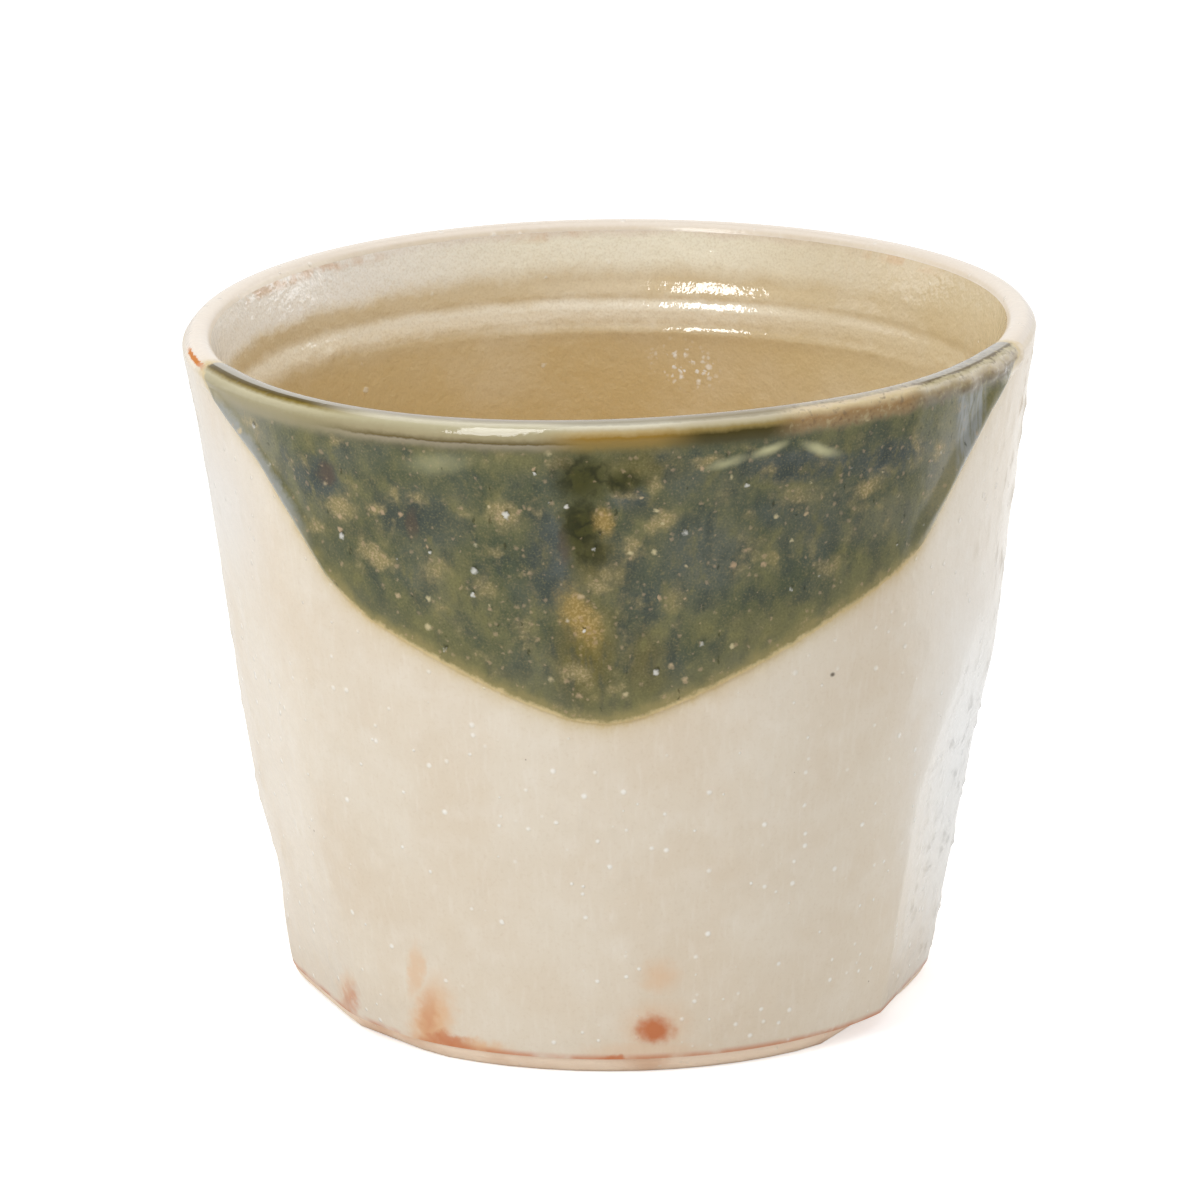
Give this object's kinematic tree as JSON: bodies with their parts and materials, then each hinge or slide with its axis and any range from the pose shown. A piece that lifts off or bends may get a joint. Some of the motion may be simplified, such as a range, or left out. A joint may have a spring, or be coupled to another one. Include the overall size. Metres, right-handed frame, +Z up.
{
  "type": "soba choko",
  "caption": "Tapered handleless stoneware cup with a knife-pared wall, a cream glaze inside and out, and a green glaze dipped at a slant over the front of the rim.",
  "frame": {"origin": "on the surface that the cup stands on, under the middle of its outline", "axes": "+Z up along the cup's axis, -Y towards the front, where the green glaze runs lowest"},
  "size_m": [0.0882, 0.0886, 0.0719],
  "materials": {
    "bare_clay": "bare fired stoneware with fine sand",
    "liner_glaze": "glossy tan liner glaze with fine speckle",
    "cream_glaze": "satin cream glaze with pinholes and rust flashes at the foot",
    "green_glaze": "glossy mottled copper green glaze with amber at its edge"
  },
  "bodies": {
    "root": {"clay_body": "bare_clay", "inner_glaze": "liner_glaze", "outer_glaze": "cream_glaze", "green_glaze": "green_glaze"}
  },
  "joints": []
}
